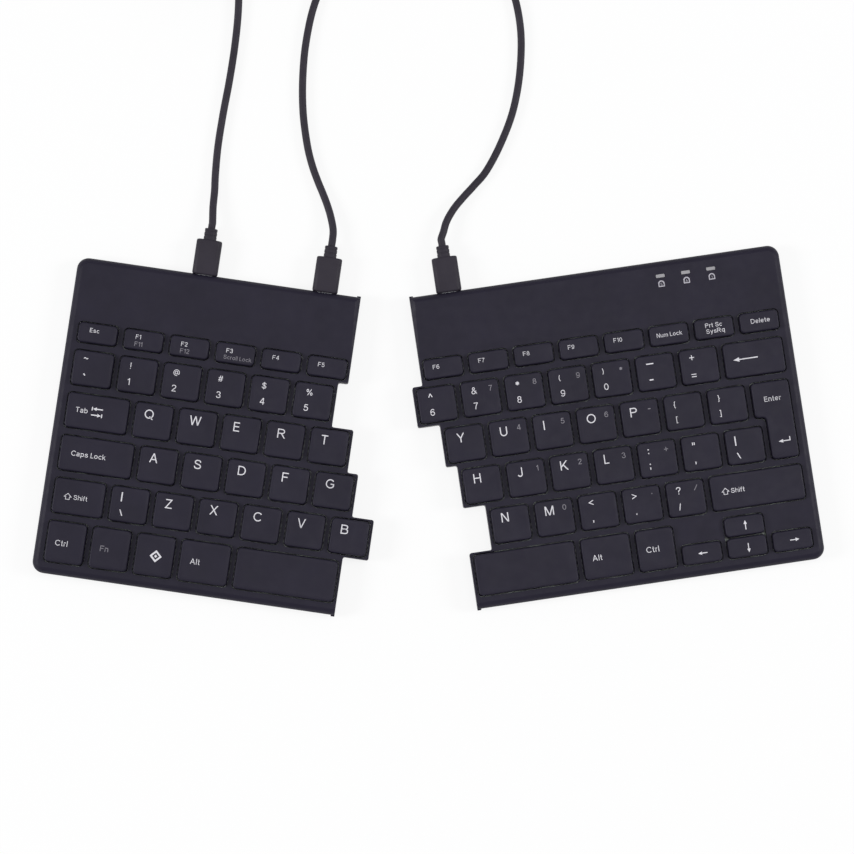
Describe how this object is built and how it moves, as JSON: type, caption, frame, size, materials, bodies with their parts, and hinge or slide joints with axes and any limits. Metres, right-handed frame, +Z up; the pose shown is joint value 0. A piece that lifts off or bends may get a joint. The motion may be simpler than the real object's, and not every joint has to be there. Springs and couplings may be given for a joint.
{
  "type": "split keyboard",
  "caption": "Low ergonomic split keyboard: two stepped halves with scissor-spring keys, joined by a short link lead, with a long lead to the host computer.",
  "frame": {"origin": "on the desk, under the middle of the box round both halves, at the bottom of the feet", "axes": "+X from the left half to the right half, +Y to the back, where the leads leave, +Z up"},
  "size_m": [0.3567, 0.3246, 0.0165],
  "materials": {
    "case": "fine satin",
    "key": "fine matte",
    "steel": "satin",
    "film": "smooth film",
    "silicone": "matte",
    "frame": "satin",
    "board": "solder mask",
    "foot_rubber": "matte",
    "light": "clear, polished",
    "cord": "satin",
    "tie": "matte"
  },
  "bodies": {
    "left_half": {"left_bottom_case": "case", "left_top_cover": "case", "left_support_plate": "steel", "left_membrane": "film", "left_domes": "silicone", "left_scissor_frames": "frame", "left_stabilisers": "steel", "left_circuit_board": "board", "left_feet": "foot_rubber", "left_screws": "steel", "left_usb_sockets": "steel", "host_plug": "cord", "host_lead": "cord", "host_coil": "cord", "coil_tie": "tie", "host_usb_plug": "cord", "link_plug_left": "cord", "link_lead": "cord"},
    "right_half": {"right_bottom_case": "case", "right_top_cover": "case", "right_support_plate": "steel", "right_membrane": "film", "right_domes": "silicone", "right_scissor_frames": "frame", "right_stabilisers": "steel", "right_circuit_board": "board", "right_feet": "foot_rubber", "right_screws": "steel", "right_usb_socket": "steel", "right_light_pipes": "light", "link_plug_right": "cord"},
    "left_function_keys": {"left_function_keys": "key"},
    "left_number_keys": {"left_number_keys": "key"},
    "tab_key": {"tab_key": "key"},
    "left_top_letters": {"left_top_letters": "key"},
    "caps_lock_key": {"caps_lock_key": "key"},
    "left_home_letters": {"left_home_letters": "key"},
    "left_shift_key": {"left_shift_key": "key"},
    "left_bottom_letters": {"left_bottom_letters": "key"},
    "left_ctrl_key": {"left_ctrl_key": "key"},
    "fn_key": {"fn_key": "key"},
    "system_key": {"system_key": "key"},
    "left_alt_key": {"left_alt_key": "key"},
    "left_space_key": {"left_space_key": "key"},
    "right_function_keys": {"right_function_keys": "key"},
    "right_number_keys": {"right_number_keys": "key"},
    "backspace_key": {"backspace_key": "key"},
    "right_top_letters": {"right_top_letters": "key"},
    "enter_key": {"enter_key": "key"},
    "right_home_letters": {"right_home_letters": "key"},
    "right_bottom_letters": {"right_bottom_letters": "key"},
    "right_shift_key": {"right_shift_key": "key"},
    "right_space_key": {"right_space_key": "key"},
    "right_alt_key": {"right_alt_key": "key"},
    "right_ctrl_key": {"right_ctrl_key": "key"},
    "arrow_left_key": {"arrow_left_key": "key"},
    "arrow_up_key": {"arrow_up_key": "key"},
    "arrow_down_key": {"arrow_down_key": "key"},
    "arrow_right_key": {"arrow_right_key": "key"}
  },
  "joints": [
    {"name": "splay", "type": "hinge", "parent": "left_half", "child": "right_half", "pos_m": [-0.01862, 0.12453, 0], "axis": [0, 0, 1], "range_deg": [-16.6, 15], "deforming": ["link_lead"]},
    {"name": "left_function_keys_press", "type": "slide", "parent": "left_half", "child": "left_function_keys", "axis": [0, 0, -1], "range_m": [0, 0.0018], "stiffness_N_per_m": 1500, "springref_m": -0.002, "deforming": ["left_domes", "left_scissor_frames"]},
    {"name": "left_number_keys_press", "type": "slide", "parent": "left_half", "child": "left_number_keys", "axis": [0, 0, -1], "range_m": [0, 0.0018], "stiffness_N_per_m": 1500, "springref_m": -0.002, "deforming": ["left_domes", "left_scissor_frames"]},
    {"name": "tab_key_press", "type": "slide", "parent": "left_half", "child": "tab_key", "axis": [0, 0, -1], "range_m": [0, 0.0018], "stiffness_N_per_m": 250, "springref_m": -0.002, "deforming": ["left_domes", "left_scissor_frames", "left_stabilisers"]},
    {"name": "left_top_letters_press", "type": "slide", "parent": "left_half", "child": "left_top_letters", "axis": [0, 0, -1], "range_m": [0, 0.0018], "stiffness_N_per_m": 1250, "springref_m": -0.002, "deforming": ["left_domes", "left_scissor_frames"]},
    {"name": "caps_lock_key_press", "type": "slide", "parent": "left_half", "child": "caps_lock_key", "axis": [0, 0, -1], "range_m": [0, 0.0018], "stiffness_N_per_m": 250, "springref_m": -0.002, "deforming": ["left_domes", "left_scissor_frames", "left_stabilisers"]},
    {"name": "left_home_letters_press", "type": "slide", "parent": "left_half", "child": "left_home_letters", "axis": [0, 0, -1], "range_m": [0, 0.0018], "stiffness_N_per_m": 1250, "springref_m": -0.002, "deforming": ["left_domes", "left_scissor_frames"]},
    {"name": "left_shift_key_press", "type": "slide", "parent": "left_half", "child": "left_shift_key", "axis": [0, 0, -1], "range_m": [0, 0.0018], "stiffness_N_per_m": 250, "springref_m": -0.002, "deforming": ["left_domes", "left_scissor_frames"]},
    {"name": "left_bottom_letters_press", "type": "slide", "parent": "left_half", "child": "left_bottom_letters", "axis": [0, 0, -1], "range_m": [0, 0.0018], "stiffness_N_per_m": 1500, "springref_m": -0.002, "deforming": ["left_domes", "left_scissor_frames"]},
    {"name": "left_ctrl_key_press", "type": "slide", "parent": "left_half", "child": "left_ctrl_key", "axis": [0, 0, -1], "range_m": [0, 0.0018], "stiffness_N_per_m": 250, "springref_m": -0.002, "deforming": ["left_domes", "left_scissor_frames"]},
    {"name": "fn_key_press", "type": "slide", "parent": "left_half", "child": "fn_key", "axis": [0, 0, -1], "range_m": [0, 0.0018], "stiffness_N_per_m": 250, "springref_m": -0.002, "deforming": ["left_domes", "left_scissor_frames"]},
    {"name": "system_key_press", "type": "slide", "parent": "left_half", "child": "system_key", "axis": [0, 0, -1], "range_m": [0, 0.0018], "stiffness_N_per_m": 250, "springref_m": -0.002, "deforming": ["left_domes", "left_scissor_frames"]},
    {"name": "left_alt_key_press", "type": "slide", "parent": "left_half", "child": "left_alt_key", "axis": [0, 0, -1], "range_m": [0, 0.0018], "stiffness_N_per_m": 250, "springref_m": -0.002, "deforming": ["left_domes", "left_scissor_frames"]},
    {"name": "left_space_key_press", "type": "slide", "parent": "left_half", "child": "left_space_key", "axis": [0, 0, -1], "range_m": [0, 0.0018], "stiffness_N_per_m": 250, "springref_m": -0.002, "deforming": ["left_domes", "left_scissor_frames", "left_stabilisers"]},
    {"name": "right_function_keys_press", "type": "slide", "parent": "right_half", "child": "right_function_keys", "axis": [0, 0, -1], "range_m": [0, 0.0018], "stiffness_N_per_m": 2000, "springref_m": -0.002, "deforming": ["right_domes", "right_scissor_frames"]},
    {"name": "right_number_keys_press", "type": "slide", "parent": "right_half", "child": "right_number_keys", "axis": [0, 0, -1], "range_m": [0, 0.0018], "stiffness_N_per_m": 1750, "springref_m": -0.002, "deforming": ["right_domes", "right_scissor_frames"]},
    {"name": "backspace_key_press", "type": "slide", "parent": "right_half", "child": "backspace_key", "axis": [0, 0, -1], "range_m": [0, 0.0018], "stiffness_N_per_m": 250, "springref_m": -0.002, "deforming": ["right_domes", "right_scissor_frames", "right_stabilisers"]},
    {"name": "right_top_letters_press", "type": "slide", "parent": "right_half", "child": "right_top_letters", "axis": [0, 0, -1], "range_m": [0, 0.0018], "stiffness_N_per_m": 1750, "springref_m": -0.002, "deforming": ["right_domes", "right_scissor_frames"]},
    {"name": "enter_key_press", "type": "slide", "parent": "right_half", "child": "enter_key", "axis": [0, 0, -1], "range_m": [0, 0.0018], "stiffness_N_per_m": 250, "springref_m": -0.002, "deforming": ["right_domes", "right_scissor_frames", "right_stabilisers"]},
    {"name": "right_home_letters_press", "type": "slide", "parent": "right_half", "child": "right_home_letters", "axis": [0, 0, -1], "range_m": [0, 0.0018], "stiffness_N_per_m": 1750, "springref_m": -0.002, "deforming": ["right_domes", "right_scissor_frames"]},
    {"name": "right_bottom_letters_press", "type": "slide", "parent": "right_half", "child": "right_bottom_letters", "axis": [0, 0, -1], "range_m": [0, 0.0018], "stiffness_N_per_m": 1250, "springref_m": -0.002, "deforming": ["right_domes", "right_scissor_frames"]},
    {"name": "right_shift_key_press", "type": "slide", "parent": "right_half", "child": "right_shift_key", "axis": [0, 0, -1], "range_m": [0, 0.0018], "stiffness_N_per_m": 250, "springref_m": -0.002, "deforming": ["right_domes", "right_scissor_frames", "right_stabilisers"]},
    {"name": "right_space_key_press", "type": "slide", "parent": "right_half", "child": "right_space_key", "axis": [0, 0, -1], "range_m": [0, 0.0018], "stiffness_N_per_m": 250, "springref_m": -0.002, "deforming": ["right_domes", "right_scissor_frames", "right_stabilisers"]},
    {"name": "right_alt_key_press", "type": "slide", "parent": "right_half", "child": "right_alt_key", "axis": [0, 0, -1], "range_m": [0, 0.0018], "stiffness_N_per_m": 250, "springref_m": -0.002, "deforming": ["right_domes", "right_scissor_frames"]},
    {"name": "right_ctrl_key_press", "type": "slide", "parent": "right_half", "child": "right_ctrl_key", "axis": [0, 0, -1], "range_m": [0, 0.0018], "stiffness_N_per_m": 250, "springref_m": -0.002, "deforming": ["right_domes", "right_scissor_frames"]},
    {"name": "arrow_left_key_press", "type": "slide", "parent": "right_half", "child": "arrow_left_key", "axis": [0, 0, -1], "range_m": [0, 0.0018], "stiffness_N_per_m": 250, "springref_m": -0.002, "deforming": ["right_domes", "right_scissor_frames"]},
    {"name": "arrow_up_key_press", "type": "slide", "parent": "right_half", "child": "arrow_up_key", "axis": [0, 0, -1], "range_m": [0, 0.0018], "stiffness_N_per_m": 250, "springref_m": -0.002, "deforming": ["right_domes", "right_scissor_frames"]},
    {"name": "arrow_down_key_press", "type": "slide", "parent": "right_half", "child": "arrow_down_key", "axis": [0, 0, -1], "range_m": [0, 0.0018], "stiffness_N_per_m": 250, "springref_m": -0.002, "deforming": ["right_domes", "right_scissor_frames"]},
    {"name": "arrow_right_key_press", "type": "slide", "parent": "right_half", "child": "arrow_right_key", "axis": [0, 0, -1], "range_m": [0, 0.0018], "stiffness_N_per_m": 250, "springref_m": -0.002, "deforming": ["right_domes", "right_scissor_frames"]}
  ]
}
